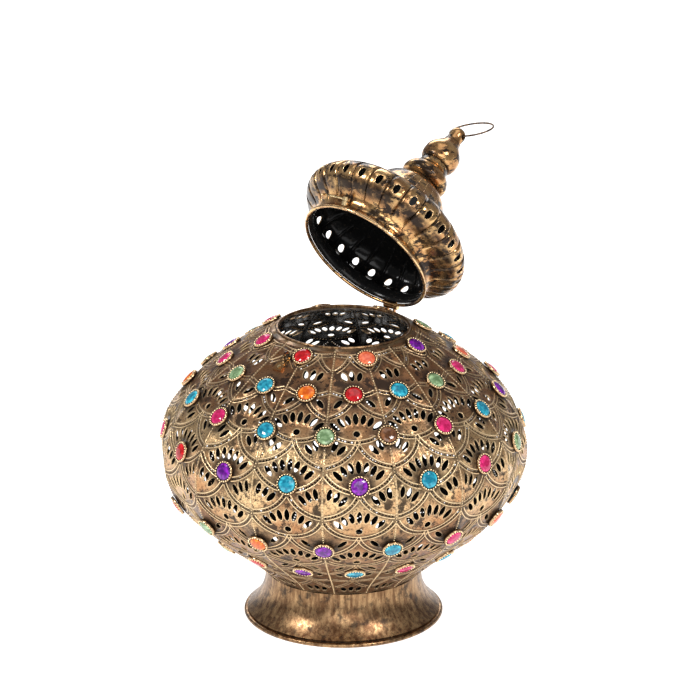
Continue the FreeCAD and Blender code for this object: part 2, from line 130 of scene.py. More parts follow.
PIVOT = Vector((0, 43.2, BELLY_Z + 72.7))
OPEN_ANGLE = 57.6
LIP_Z = BELLY_Z + 72.2
LIP_R = 40.3
LIP_BEAD_R = 1.0
SPUN = 0.8
DOME_PROFILE = [(40.1, 1.4), (38.7, 5.0), (40.6, 8.6), (46.0, 11.9), (50.6, 15.5),
                (52.7, 20.2), (51.5, 25.4), (48.0, 29.6), (42.6, 33.2), (36.5, 36.0),
                (29.8, 39.2), (25.3, 43.4), (22.2, 48.6), (19.3, 52.9), (14.8, 56.6),
                (11.0, 59.5)]
LID_SLOTS = 28
SLOT_AT = (52.3, 19.7)      # radius, height above the lip
SLOT_TURN = 7.6             # azimuth of the first slot, lid closed
SLOT_LENGTH = 6.6
SLOT_WIDTH = 3.8
GROOVE_START = (7.0, 12.0)  # heights between which a pressed groove deepens
GROOVE_END = (30.0, 34.0)   # and between which it runs out
GROOVE_DEPTH = 1.0
GROOVE_HALF = 1.15
PINHOLE_ROWS = [(37.4, 35.6), (24.2, 45.0)]
PINHOLE_R = 0.42
RIDGE_SHIFT = (1.6, -1.2)   # from a row of pinholes to the ridge beside it
RIDGE_HEIGHT = 0.35
RIDGE_HALF = 2.0
BAND = (13.4, 4.6)          # height and reach of the dark band under the slots
BULB = [(11.0, 59.6), (12.4, 60.3), (13.7, 61.2), (14.35, 62.5), (14.4, 64.2), (13.7, 66.4),
        (12.2, 68.6), (10.6, 70.4), (9.5, 72.6), (8.9, 75.0)]
BALL = [(8.9, 75.1), (9.8, 75.9), (10.7, 77.4), (11.3, 81.2), (10.8, 84.8), (8.9, 88.1),
        (6.6, 91.1), (5.6, 92.6), (5.2, 94.0)]

RING_R = 13.0
RING_WIRE_R = 0.6
RING_HOLE_Z = LIP_Z + 99.6
RING_LEAN = 27.0
RING_ROLL = 4.0
RING_YAW = -8.2
CAP_HALF = 4.7              # half the cap's width where the ring goes through
RING_BOW = (RING_R - math.sqrt(RING_R ** 2 - CAP_HALF ** 2)) / 2.0

# ---- camera and light ---------------------------------------------------------------
VIEW_AZIMUTH = 40.0
VIEW_ELEVATION = 19.0
VIEW_DISTANCE = 2.256
VIEW_TARGET = Vector((-0.0080, 0.0155, 0.1556))
LENS = 200.0
LIGHT_AIM = Vector((0.0, 0.0, 0.13))
# Name, azimuth, elevation, distance in metres, size, radiance.
LIGHTS = [("front", -48.0, 24.0, 2.7, (2.0, 1.1), 3.5),
          ("left_spark", -112.0, 38.0, 1.7, (0.34, 0.34), 34.0),
          ("right_spark", -2.0, 42.0, 1.7, (0.34, 0.34), 28.0),
          ("over", 40.0, 82.0, 1.6, (1.0, 1.0), 1.2),
          ("back", 135.0, 30.0, 2.0, (1.2, 0.8), 3.8)]


# ---- curves -------------------------------------------------------------------------
def end_slope(t, p, x):
    """Slope at x of the cubic through four points."""
    slope = np.zeros(2)
    for i in range(4):
        total = 0.0
        for j in range(4):
            if j != i:
                term = 1.0 / (t[i] - t[j])
                for k in range(4):
                    if k not in (i, j):
                        term *= (x - t[k]) / (t[i] - t[k])
                total += term
        slope += total * p[i]
    return slope


class Curve:
    """Smooth cubic through radius and height points, measured by its length."""

    def __init__(self, points, base=0.0, samples=1500):
        p = np.array(points, float) + np.array((0.0, base))
        t = np.concatenate([[0.0], np.cumsum(np.linalg.norm(np.diff(p, axis=0), axis=1))])
        h = np.diff(t)
        d = np.diff(p, axis=0) / h[:, None]
        n = len(p)
        a = np.zeros((n, n))
        b = np.zeros((n, 2))
        a[0, 0] = a[-1, -1] = 1.0
        b[0] = end_slope(t[:4], p[:4], t[0])
        b[-1] = end_slope(t[-4:], p[-4:], t[-1])
        for i in range(1, n - 1):
            a[i, i - 1:i + 2] = h[i], 2 * (h[i - 1] + h[i]), h[i - 1]
            b[i] = 3 * (h[i] * d[i - 1] + h[i - 1] * d[i])
        m = np.linalg.solve(a, b)
        x = np.linspace(0.0, t[-1], samples)
        i = np.clip(np.searchsorted(t, x) - 1, 0, n - 2)
        s = ((x - t[i]) / h[i])[:, None]
        step = h[i][:, None]
        self.p = ((2 * s ** 3 - 3 * s ** 2 + 1) * p[i] + (s ** 3 - 2 * s ** 2 + s) * step * m[i]
                  + (3 * s ** 2 - 2 * s ** 3) * p[i + 1] + (s ** 3 - s ** 2) * step * m[i + 1])
        lengths = np.linalg.norm(np.diff(self.p, axis=0), axis=1)
        self.s = np.concatenate([[0.0], np.cumsum(lengths)])
        self.length = float(self.s[-1])
        along = np.gradient(self.p, self.s, axis=0)
        along /= np.linalg.norm(along, axis=1)[:, None]
        self.n = np.stack([-along[:, 1], along[:, 0]], axis=1)
        if self.n[:, 0].mean() < 0:
            self.n = -self.n

    def at(self, s):
        """Radius, height, and the outward normal's radial and upward parts."""
        return [float(np.interp(s, self.s, column)) for column in
                (self.p[:, 0], self.p[:, 1], self.n[:, 0], self.n[:, 1])]

    def nearest(self, radius, height):
        return float(self.s[np.argmin(np.hypot(self.p[:, 0] - radius, self.p[:, 1] - height))])


FLAT = Curve([(r * FLAT_RATIO, z) for r, z in BODY_PROFILE], BELLY_Z)
SEAM = Curve(BODY_PROFILE, BELLY_Z)
DOME = Curve(DOME_PROFILE, LIP_Z)


def smooth_step(low, high, x):
    t = min(1.0, max(0.0, (x - low) / (high - low)))
    return t * t * (3 - 2 * t)


# ---- materials ----------------------------------------------------------------------
class Finish:
    """A node material, put together one node at a time."""

    def __init__(self, name):
        self.material = bpy.data.materials.new(name)
        self.material.use_nodes = True
        self.nodes = self.material.node_tree.nodes
        self.links = self.material.node_tree.links
        self.shader = self.nodes["Principled BSDF"]
        self.place = self.nodes.new("ShaderNodeTexCoord").outputs["Object"]

    def put(self, socket, value):
        if hasattr(value, "is_output"):
            self.links.new(value, socket)
        elif socket.type == "RGBA":
            socket.default_value = (*value, 1.0)
        else:
            socket.default_value = value

    def set(self, **values):
        for name, value in values.items():
            self.put(self.shader.inputs[name.replace("_", " ")], value)
        return self

    def noise(self, size, detail=3.0, rough=0.55, stretch=None):
        """Noise whose features are about that many millimetres across."""
        node = self.nodes.new("ShaderNodeTexNoise")
        node.inputs["Scale"].default_value = 1000.0 / size
        node.inputs["Detail"].default_value = detail
        node.inputs["Roughness"].default_value = rough
        place = self.place
        if stretch:
            mapping = self.nodes.new("ShaderNodeMapping")
            mapping.inputs["Scale"].default_value = stretch
            self.links.new(place, mapping.inputs["Vector"])
            place = mapping.outputs["Vector"]
        self.links.new(place, node.inputs["Vector"])
        return node.outputs["Fac"]

    def cells(self, size):
        """Distance to the nearest point of a loose grid of that many millimetres."""
        node = self.nodes.new("ShaderNodeTexVoronoi")
        node.inputs["Randomness"].default_value = 0.25
        node.inputs["Scale"].default_value = 1000.0 / size
        self.links.new(self.place, node.inputs["Vector"])
        return node.outputs["Distance"]

    def value(self, name):
        """A number stored on the mesh's points."""
        node = self.nodes.new("ShaderNodeAttribute")
        node.attribute_name = name
        return node.outputs["Fac"]

    def math(self, kind, a, b):
        node = self.nodes.new("ShaderNodeMath")
        node.operation = kind
        node.use_clamp = True
        self.put(node.inputs[0], a)
        self.put(node.inputs[1], b)
        return node.outputs[0]

    def times(self, a, b):
        return self.math("MULTIPLY", a, b)

    def larger(self, a, b):
        return self.math("MAXIMUM", a, b)

    def less(self, a, b):
        return self.math("SUBTRACT", a, b)

    def range(self, value, low, high, to_low=0.0, to_high=1.0):
        node = self.nodes.new("ShaderNodeMapRange")
        node.interpolation_type = "SMOOTHSTEP"
        self.put(node.inputs["Value"], value)
        for name, number in (("From Min", low), ("From Max", high),
                             ("To Min", to_low), ("To Max", to_high)):
            node.inputs[name].default_value = number
        return node.outputs["Result"]

    def fade(self, share, start, end):
        """From start to end as the share goes from none to all."""
        return self.range(share, 0.0, 1.0, start, end)

    def mix(self, factor, a, b):
        node = self.nodes.new("ShaderNodeMix")
        node.data_type = "RGBA"
        self.put(node.inputs[0], factor)
        self.put(node.inputs[6], a)
        self.put(node.inputs[7], b)
        return node.outputs[2]

    def bump(self, height, distance, strength=1.0):
        node = self.nodes.new("ShaderNodeBump")
        node.inputs["Strength"].default_value = strength
        node.inputs["Distance"].default_value = distance * 0.001
        self.links.new(height, node.inputs["Height"])
        previous = self.shader.inputs["Normal"]
        if previous.is_linked:
            self.links.new(previous.links[0].from_socket, node.inputs["Normal"])
        self.links.new(node.outputs["Normal"], previous)
        return self


GOLD = (0.84, 0.58, 0.30)
PALE_GOLD = (0.96, 0.74, 0.44)
COPPER = (0.50, 0.26, 0.12)
SOOT = (0.012, 0.009, 0.008)
TARNISHED = (0.25, 0.102, 0.044)
UMBER = (0.13, 0.060, 0.028)


def make_pierced_brass():
    """Pressed brass: gold on what stands up, brown between, nearly black in the corners."""
    f = Finish("pierced_brass")
    wear = f.value("wear")
    tarnish_and_reflection_share = f.value("tarnish_and_reflection")
    speck = f.noise(1.5, 4.0, 0.7)
    weave = f.cells(1.15)
    tone = f.mix(f.range(f.noise(34.0, 3.0), 0.34, 0.66), COPPER, GOLD)
    # Brown darkening down the gore, left off round the belly as a painted reflection of the bright
    # floor and softbox.
    tone = f.mix(f.times(tarnish_and_reflection_share, 0.85), tone, TARNISHED)
    tone = f.mix(f.times(f.range(speck, 0.45, 0.70), 0.6), tone, UMBER)
    # Pale gold on worn points, stronger round the belly, where it adds to the painted reflection.
    tone = f.mix(f.times(wear, f.fade(tarnish_and_reflection_share, 0.85, 0.6)), tone, PALE_GOLD)
    grime = f.times(f.value("dirt"), f.range(f.noise(4.2, 5.0, 0.65), 0.30, 0.55, 0.6, 1.0))
    spots = f.larger(f.range(f.noise(5.0, 5.0, 0.75), 0.52, 0.60),
                     f.range(f.noise(13.0, 6.0, 0.72), 0.515, 0.59))
    pits = f.times(f.range(weave, 0.18, 0.36, 1.0, 0.0),
                   f.range(f.noise(12.0, 3.0), 0.42, 0.62, 0.2, 0.95))
    dark = f.larger(f.larger(grime, pits), f.less(f.times(spots, 0.92), wear))
    f.set(Base_Color=f.mix(dark, tone, SOOT), Metallic=f.fade(dark, 1.0, 0.35),
          Roughness=f.range(speck, 0.3, 0.7, 0.26, 0.42),
          Specular_IOR_Level=f.fade(dark, 0.5, 0.12))
    return f.bump(speck, 0.10, 0.5).bump(weave, 0.12, 0.7).bump(f.noise(6.0, 2.0), 0.35, 0.35)


def make_inner_black():
    f = Finish("inner_black")
    speck = f.noise(2.5, 4.0, 0.7)
    f.set(Base_Color=f.mix(f.range(speck, 0.55, 0.75), (0.006, 0.006, 0.006), (0.035, 0.028, 0.022)),
          Metallic=0.0, Roughness=f.range(speck, 0.3, 0.7, 0.08, 0.18), Specular_IOR_Level=0.15)
    return f.bump(speck, 0.05, 0.3).bump(f.noise(8.0, 2.0), 0.4, 0.3)


def make_lid_bronze():
    """Glossy spun bronze with black patches of patina."""
    f = Finish("lid_bronze")
    wear = f.value("wear")
    speck = f.noise(1.8, 4.0, 0.7)
    tone = f.mix(f.range(f.noise(9.0, 3.0), 0.35, 0.65), (0.40, 0.20, 0.082), (0.74, 0.45, 0.19))
    tone = f.mix(f.times(wear, 0.8), tone, PALE_GOLD)
    patina = f.times(f.range(f.noise(11.0, 6.0, 0.74, (1.0, 1.0, 1.8)), 0.480, 0.560), 0.97)
    grime = f.times(f.value("dirt"), f.range(f.noise(7.0, 4.0, 0.65), 0.32, 0.55, 0.35, 1.0))
    dark = f.larger(grime, f.less(patina, wear))
    f.set(Base_Color=f.mix(dark, tone, SOOT), Metallic=f.fade(dark, 1.0, 0.5),
          Roughness=f.range(speck, 0.3, 0.75, 0.15, 0.30), Coat_Weight=0.06, Coat_Roughness=0.08,
          Specular_IOR_Level=f.fade(dark, 0.5, 0.15))
    return f.bump(speck, 0.05, 0.35).bump(f.noise(5.0, 2.0), 0.5, 0.35)


def make_enamel():
    f = Finish("black_enamel")
    speck = f.noise(3.0, 4.0, 0.6)
    f.set(Base_Color=f.mix(f.range(speck, 0.55, 0.7), (0.010, 0.010, 0.011), (0.035, 0.030, 0.027)),
          Roughness=f.range(speck, 0.3, 0.7, 0.16, 0.32), Coat_Weight=0.6, Coat_Roughness=0.08)
    return f.bump(speck, 0.06, 0.3)


def make_antique_brass():
    """Brown brass with fine lengthways streaks, for the foot, collars and mouth."""
    f = Finish("antique_brass")
    streak = f.noise(3.0, 4.0, 0.65, (1.0, 1.0, 0.12))
    speck = f.noise(1.6, 4.0, 0.7)
    tone = f.mix(f.range(streak, 0.35, 0.68), (0.14, 0.072, 0.036), (0.42, 0.26, 0.13))
    dark = f.times(f.range(f.noise(7.0, 4.0, 0.65), 0.5, 0.68), 0.75)
    f.set(Base_Color=f.mix(dark, tone, SOOT), Metallic=f.fade(dark, 1.0, 0.4),
          Roughness=f.range(speck, 0.3, 0.7, 0.24, 0.42), Specular_IOR_Level=0.2)
    return f.bump(speck, 0.08, 0.4)


def make_bright_brass():
    f = Finish("bright_brass")
    speck = f.noise(1.4, 4.0, 0.7)
    tone = f.mix(f.range(speck, 0.4, 0.7), (0.86, 0.66, 0.36), (0.50, 0.32, 0.16))
    dark = f.times(f.range(f.noise(3.2, 4.0, 0.65), 0.54, 0.66), 0.85)
    f.set(Base_Color=f.mix(dark, tone, SOOT), Metallic=0.95,
          Roughness=f.range(speck, 0.3, 0.7, 0.20, 0.36))
    return f.bump(speck, 0.06, 0.4)


def make_setting_copper():
    """Copper cups: pale on the beads, dark where the cup meets the gore."""
    f = Finish("setting_copper")
    speck = f.noise(1.2, 4.0, 0.7)
    tone = f.mix(f.range(speck, 0.35, 0.7), (0.66, 0.38, 0.19), (0.34, 0.18, 0.09))
    tone = f.mix(f.value("wear"), tone, PALE_GOLD)
    dark = f.times(f.value("dirt"), f.range(f.noise(1.8, 3.0), 0.3, 0.55, 0.7, 1.0))
    f.set(Base_Color=f.mix(dark, tone, SOOT), Metallic=1.0, Specular_IOR_Level=0.2,
          Roughness=f.range(speck, 0.3, 0.7, 0.16, 0.32))
    return f.bump(speck, 0.05, 0.35)


def make_wire():
    f = Finish("ring_wire")
    speck = f.noise(1.1, 5.0, 0.75)
    tone = f.mix(f.range(f.noise(2.2, 4.0, 0.7), 0.42, 0.62),
                 (0.035, 0.020, 0.013), (0.22, 0.13, 0.07))
    f.set(Base_Color=f.mix(f.range(speck, 0.66, 0.72), tone, PALE_GOLD), Metallic=0.6,
          Specular_IOR_Level=0.1, Roughness=f.range(speck, 0.3, 0.7, 0.3, 0.5))
    return f.bump(speck, 0.10, 0.6)


def make_punched():
    f = Finish("punched_hole")
    speck = f.noise(0.8, 2.0)
    f.set(Base_Color=f.mix(speck, (0.004, 0.003, 0.003), (0.02, 0.013, 0.009)), Roughness=0.7)
    return f


# Each stone colour: its deep colour, and the lighter colour of the painted light on its facets.
STONE_TINTS = {
    "blue": ((0.000, 0.110, 0.190), (0.050, 0.560, 0.720)),
    "pink": ((0.330, 0.002, 0.055), (0.880, 0.040, 0.230)),
    "purple": ((0.040, 0.001, 0.090), (0.340, 0.020, 0.560)),
    "green": ((0.080, 0.150, 0.060), (0.420, 0.600, 0.330)),
    "orange": ((0.480, 0.060, 0.002), (0.960, 0.290, 0.030)),
    "coral": ((0.560, 0.070, 0.030), (0.960, 0.290, 0.130)),
    "red": ((0.260, 0.001, 0.004), (0.820, 0.016, 0.022)),
    "brown": ((0.060, 0.022, 0.008), (0.290, 0.120, 0.050))}


def make_stone(colour):
    """Clear coloured acrylic over a bright backing: deep in the middle, with painted light on the
    facets round the rim.
    """
    deep, painted_light = STONE_TINTS[colour]
    f = Finish("stone_" + colour)
    painted_facet_light = f.times(f.value("painted_facet_light"), f.range(f.noise(2.2, 1.0), 0.38, 0.62, 0.25, 1.0))
    speck = f.noise(3.0, 2.0)
    f.set(Base_Color=f.mix(painted_facet_light, deep, painted_light), Roughness=f.range(speck, 0.3, 0.7, 0.02, 0.06),
          IOR=1.49)
    return f.bump(speck, 0.04, 0.25)


def make_floor():
    f = Finish("floor")
    grain = f.noise(120.0, 2.0)
    tone = f.mix(grain, (0.90, 0.90, 0.90), (0.93, 0.93, 0.93))
    f.set(Base_Color=tone, Emission_Color=tone, Emission_Strength=0.8, Roughness=0.9)
    return f


BRASS = make_pierced_brass().material
INNER = make_inner_black().material
LID = make_lid_bronze().material
ENAMEL = make_enamel().material
ANTIQUE = make_antique_brass().material
BRIGHT = make_bright_brass().material
COPPER_CUP = make_setting_copper().material
WIRE = make_wire().material
PUNCHED = make_punched().material


# ---- meshes -------------------------------------------------------------------------
class Builder:
    """Points, faces and their finishes, gathered before a mesh is made."""

    def __init__(self):
        self.points = []
        self.faces = []
        self.finish = []
        self.flat = []
        self.values = {"wear": [], "dirt": [], "painted_facet_light": [], "tarnish_and_reflection": []}

    def point(self, place, wear=0.0, dirt=0.0, painted_facet_light=0.0, tarnish_and_reflection=0.0):
        self.points.append(place)
        self.values["tarnish_and_reflection"].append(tarnish_and_reflection)
        self.values["wear"].append(wear)
        self.values["dirt"].append(dirt)
        self.values["painted_facet_light"].append(painted_facet_light)
        return len(self.points) - 1

    def face(self, corners, finish=0, flat=False):
        if len(set(corners)) > 2:
            self.faces.append(tuple(corners))
            self.finish.append(finish)
            self.flat.append(flat)

    def strip(self, rows, closed=False, finish=0, flat=False):
        """Quads between rows of points; closed joins the last point of a row to its first."""
        for low, high in zip(rows, rows[1:]):
            n = len(low)
            for i in range(n if closed else n - 1):
                j = (i + 1) % n
                self.face((low[i], low[j], high[j], high[i]), finish, flat)

    def make(self, name, materials, body, replaces=(), turn=None):
        mesh = bpy.data.meshes.new(name)
        places = [turn @ Vector(p) if turn else Vector(p) for p in self.points]
        mesh.from_pydata([p * 0.001 for p in places], [], self.faces)
        for key, numbers in self.values.items():
            if any(numbers):
                layer = mesh.attributes.new(key, "FLOAT", "POINT")
                layer.data.foreach_set("value", numbers)
        for material in materials:
            mesh.materials.append(material)
        mesh.polygons.foreach_set("material_index", self.finish)
        mesh.polygons.foreach_set("use_smooth", [not flat for flat in self.flat])
        mesh.update()
        obj = bpy.data.objects.new(name, mesh)
        bpy.context.scene.collection.objects.link(obj)
        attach(obj, body)
        if replaces:
            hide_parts(*replaces)
        return obj


def opened():
    """Turn that takes a lid piece from closed to its open stop."""
    turn = Matrix.Rotation(math.radians(-OPEN_ANGLE), 4, "X")
    return Matrix.Translation(PIVOT) @ turn @ Matrix.Translation(-PIVOT)


def around(radius, height, azimuth):
    a = math.radians(azimuth)
    return Vector((radius * math.cos(a), radius * math.sin(a), height))


def beams(side, other, count, start=0.0):
    """Directions evenly spaced round a circle, from two that are square to each other."""
    turns = [start + 2 * math.pi * k / count for k in range(count)]
    return [side * math.cos(turn) + other * math.sin(turn) for turn in turns]


def add_bead(build, centre, out, radius):
    """Small six-sided dome standing on a surface, worn on top and dirty round its foot."""
    side = out.orthogonal().normalized()
    rows = []
    for reach, rise, wear, dirt in ((1.0, -0.25, 0.0, 0.5), (0.88, 0.45, 1.0, 0.0)):
        rows.append([build.point(centre + radius * (out * rise + reach * beam), wear, dirt)
                     for beam in beams(side, out.cross(side), 6)])
    build.strip(rows, True)
    top = build.point(centre + out * radius, 1.0)
    for low, after in zip(rows[1], rows[1][1:] + rows[1][:1]):
        build.face((low, after, top))


# ---- gores --------------------------------------------------------------------------
class Layout:
    """Flat layout of a sheet: points with their rise, wear and hole, and the edges between."""

    def __init__(self):
        self.points = []
        self.marks = []
        self.edges = []

    def add(self, u, v, rise=0.0, wear=0.0, hole=-1):
        self.points.append(Vector((u, v)))
        self.marks.append((rise, wear, hole))
        return len(self.points) - 1

    def close(self, ring):
        self.edges += zip(ring, ring[1:] + ring[:1])

    def loop(self, outline, rise, wear, hole):
        self.close([self.add(u, v, rise, wear, hole) for u, v in outline])

    def sheet(self):
        """Points, their marks, and the triangles that don't lie in a hole."""
        points, _, faces, origins, _, _ = delaunay_2d_cdt(self.points, self.edges, [], 0, 1e-5)
        marks = [self.marks[origin[0]] if origin else CROSSING for origin in origins]
        holes = [{marks[i][2] for i in face} for face in faces]
        return points, marks, [face for face, rims in zip(faces, holes)
                               if len(rims) > 1 or -1 in rims]


def stone_places(gore):
    """Stones on a gore: distance across, distance down. Seam stones lie on its edges."""
    found = []
    for row, (radius, height, on_seam, every) in STONE_ROWS.items():
        down = FLAT.nearest(radius * (FLAT_RATIO if on_seam else 1.0), height + BELLY_Z)
        if not on_seam:
            found.append((0.0, down))
            continue
        edge = FLAT.at(down)[0] * FLAT_SLOPE
        for side, seam in ((-1, gore - 1), (1, gore)):
            if seam % every == 0:
                found.append((side * edge, down))
    return found


def clearance(place, stones):
    """Distance from a place to the middle of the nearest stone."""
    return min(math.hypot(place[0] - u, place[1] - v) for u, v in stones)


def gore_rows():
    """Columns and rows of the scales: middle across, lowest point down."""
    for column in (-1, 0, 1):
        for row in range(ROWS):
            yield column * COLUMN, FIRST_ROW + PITCH * (row + (0.5 if column else 0.0))


def oval(u, v, angle, length, width, count=14, grow=0.0, taper=1.0):
    """Outline of a rounded slot whose long axis leans by the angle from straight down."""
    lean = math.radians(angle)
    along = (math.sin(lean), -math.cos(lean))
    across = (math.cos(lean), math.sin(lean))
    outline = []
    for k in range(count):
        turn = 2 * math.pi * k / count
        far = math.cos(turn) * (length / 2 + grow)
        wide = abs(math.sin(turn)) ** taper * math.copysign(1, math.sin(turn)) * (width / 2 + grow)
        outline.append((u + far * along[0] + wide * across[0],
                        v + far * along[1] + wide * across[1]))
    return outline


def half_width(v):
    """Half the width of a gore at a distance down it."""
    return FLAT.at(v)[0] * FLAT_SLOPE


def gore_slots(stones, covered):
    """Slots and round holes of a gore: u, v, lean, length, width."""
    slots = []
    for column, low in gore_rows():
        wanted = [(column, low - FOCUS_RISE, 0.0, 2 * FOCUS_R, 2 * FOCUS_R)]
        for petal in range(1 - len(PETALS), len(PETALS)):
            lean = math.radians(FAN_STEP * petal)
            wanted.append((column + FAN_R * math.sin(lean),
                           low + FAN_DROP - FAN_R * math.cos(lean),
                           FAN_STEP * petal, PETALS[abs(petal)], PETAL_WIDTH))
        for u, v, lean, length, width in wanted:
            across = math.sin(math.radians(lean))
            down = math.cos(math.radians(lean))
            side = abs(u) + 0.4 * length * abs(across) + 0.4 * width
            ends = [(u + reach * across, v - reach * down)
                    for reach in (-length / 2, 0, length / 2)]
            if (SLOT_ENDS[0] < v < FLAT.length - SLOT_ENDS[1] and not covered(u, v)
                    and side <= half_width(v) - SLOT_MARGIN
                    and min(clearance(end, stones) for end in ends) > SETTING_R + SLOT_TO_CUP):
                slots.append((u, v, lean, length, width))
    return slots


def tarnish_and_reflection(v):
    """How far the brass is darkened at a distance down a gore; it is left clear round the belly as a
    painted reflection.
    """
    return float(np.interp(v, *TARNISH_AND_REFLECTION))


def gore_dirt(u, v, stones):
    """Darkening round the stones, along the arcs and towards the foot."""
    from_cup = clearance((u, v), stones) - SETTING_R
    dirt = max(0.95 * (1.0 - smooth_step(*CUP_DIRT, from_cup)), 0.5 * smooth_step(*FOOT_DIRT, v))
    middle, reach = ARC_DIRT
    for column, low in gore_rows():
        away = abs(math.hypot(u - column, v - (low - ARC_R)) - ARC_R - middle)
        if abs(u - column) < COLUMN and v > low - ARC_R and away < reach:
            dirt = max(dirt, 0.95 * (1.0 - away / reach))
    return dirt


def gore_place(u, v, azimuth, height):
    """Where a place on the flat layout lies on the bent gore, raised by the height."""
    radius, z, out, up = FLAT.at(v)
    a = math.radians(azimuth)
    reach = radius + out * height
    return Vector((reach * math.cos(a) - u * math.sin(a),
                   reach * math.sin(a) + u * math.cos(a), z + up * height))


def arc_runs(stones):
    """Visible stretches of the arcs, as places with the direction away from the arc's centre."""
    for column, low in gore_rows():
        run = []
        for step in range(ARC_STEPS + 1):
            turn = math.radians(ARC_SPAN) * (2.0 * step / ARC_STEPS - 1.0)
            out = (math.sin(turn), math.cos(turn))
            u = column + ARC_R * out[0]
            v = low - ARC_R + ARC_R * out[1]
            inside = (ARC_ENDS[0] < v < FLAT.length - ARC_ENDS[1]
                      and abs(u) < half_width(v) - SEAM_MARGIN
                      and clearance((u, v), stones) > SETTING_R - 0.4)
            if inside:
                run.append((u, v, out))
            if not inside or step == ARC_STEPS:
                if len(run) > 2:
                    yield run
                run = []


def run_dots(run):
    """Evenly spaced places beside a stretch of arc."""
    length = 0.0
    due = DOT_STEP / 2
    for (u0, v0, out), (u1, v1, _) in zip(run, run[1:]):
        step = math.hypot(u1 - u0, v1 - v0)
        while due < length + step:
            part = (due - length) / step
            yield (u0 + (u1 - u0) * part + out[0] * DOT_OFFSET,
                   v0 + (v1 - v0) * part + out[1] * DOT_OFFSET)
            due += DOT_STEP
        length += step


def on_line(u, v):
    """Whether a dot there would run into the raised line of any arc."""
    for column, low in gore_rows():
        du = u - column
        dv = v - (low - ARC_R)
        offset = math.hypot(du, dv) - ARC_R
        if abs(math.atan2(du, dv)) < math.radians(ARC_SPAN) and any(
                near < offset < far for near, far in LINE_OFFSETS):
            return True
    return False


def near_slot(u, v, slots, margin):
    """Whether a place is inside a slot's outline grown by the margin."""
    for a, b, lean, length, width in slots:
        if abs(u - a) < 6.0 and abs(v - b) < 6.0:
            t = math.radians(lean)
            along = (u - a) * math.sin(t) - (v - b) * math.cos(t)
            across = (u - a) * math.cos(t) + (v - b) * math.sin(t)
            if math.hypot(along / (length / 2 + margin), across / (width / 2 + margin)) < 1.0:
                return True
    return False


def gore_dots(stones, slots):
    """Pierced dots beside the arcs, kept clear of the lines, the stones and the slots."""
    dots = []
    for run in arc_runs(stones):
        for u, v in run_dots(run):
            if (abs(u) <= half_width(v) - DOT_MARGIN and not on_line(u, v)
                    and DOT_ENDS[0] < v < FLAT.length - DOT_ENDS[1]
                    and clearance((u, v), stones) >= SETTING_R + DOT_TO_CUP
                    and not near_slot(u, v, slots, DOT_R + RIM + 0.15)
                    and all(math.hypot(u - a, v - b) >= DOT_APART for a, b in dots)):
                dots.append((u, v))
    return dots


def gore_layout(gore):
    """A gore laid out flat, with its holes, and the places of its stones."""
    stones = stone_places(gore)

    def covered(u, v):
        return gore in (0, GORES // 2) and abs(u) < COVERED[0] and v < COVERED[1]

    layout = Layout()
    rows = int(FLAT.length / GRID_ROW)
    levels = [FLAT.length * row / rows for row in range(rows + 1)]
    left, right = [], []
    for v in levels:
        left.append(layout.add(-half_width(v), v, wear=0.7))
        right.append(layout.add(half_width(v), v, wear=0.7))
    layout.close(left + right[::-1])
    slots = gore_slots(stones, covered)
    dots = [dot for dot in gore_dots(stones, slots) if not covered(*dot)]
    for hole, (u, v, lean, length, width) in enumerate(slots):
        taper = 1.0 if length == width else PETAL_TAPER
        for grow, rise, wear in ((0.0, 0.0, 0.9), (RIM * 0.5, RIM_HEIGHT, 0.75), (RIM, 0.0, 0.1)):
            layout.loop(oval(u, v, lean, length, width, 14, grow, taper), rise, wear,
                        -1 if grow else hole)
    for hole, (u, v) in enumerate(dots, len(slots)):
        layout.loop(oval(u, v, 0.0, 2 * DOT_R, 2 * DOT_R, 7), 0.0, 0.2, hole)
    for v in levels[1:-1]:
        wide = half_width(v) - GRID_MARGIN
        count = max(2, int(2 * wide / GRID_STEP))
        for step in range(count + 1):
            u = -wide + 2 * wide * step / count
            if not near_slot(u, v, slots, GRID_TO_SLOT) and all(
                    max(abs(u - a), abs(v - b)) > GRID_TO_DOT for a, b in dots):
                layout.add(u, v)
    points, marks, faces = layout.sheet()
    kept = []
    for face in faces:
        u = sum(points[i].x for i in face) / 3
        v = sum(points[i].y for i in face) / 3
        if abs(u) < half_width(v) + 1e-3:
            kept.append(face)
    return (points, marks, kept), stones


def add_sheet(build, sheet, place, dirt, thickness, tarnish_and_reflection_share=lambda v: 0.0):
    """Outer skin, inner skin and the cut edges between them."""
    points, marks, faces = sheet
    outer = [build.point(place(p.x, p.y, rise), wear, dirt(p.x, p.y), tarnish_and_reflection=tarnish_and_reflection_share(p.y))
             for p, (rise, wear, _) in zip(points, marks)]
    inner = [build.point(place(p.x, p.y, -thickness)) for p in points]
    used = {}
    for face in faces:
        ahead = (points[face[1]] - points[face[0]]).cross(points[face[2]] - points[face[0]])
        a, b, c = face if ahead < 0 else face[::-1]
        build.face((outer[a], outer[b], outer[c]))
        build.face((inner[c], inner[b], inner[a]), 1)
        for i, j in ((a, b), (b, c), (c, a)):
            used[(i, j)] = True
    for i, j in used:
        if (j, i) not in used:
            build.face((outer[j], outer[i], inner[i], inner[j]))


def add_borders(build, azimuth, stones):
    """The raised lines along the arcs of the scales."""
    for run in arc_runs(stones):
        for section in (CORDON, RAIL):
            rows = []
            for u, v, out in run:
                row = []
                for offset, height, wear, dirt in section:
                    b = min(v + out[1] * offset, FLAT.length)
                    edge = half_width(b) - 0.15
                    a = max(-edge, min(edge, u + out[0] * offset))
                    row.append(build.point(gore_place(a, b, azimuth, height - 0.02), wear, dirt,
                                           tarnish_and_reflection=tarnish_and_reflection(b)))
                rows.append(row)
            build.strip(rows)


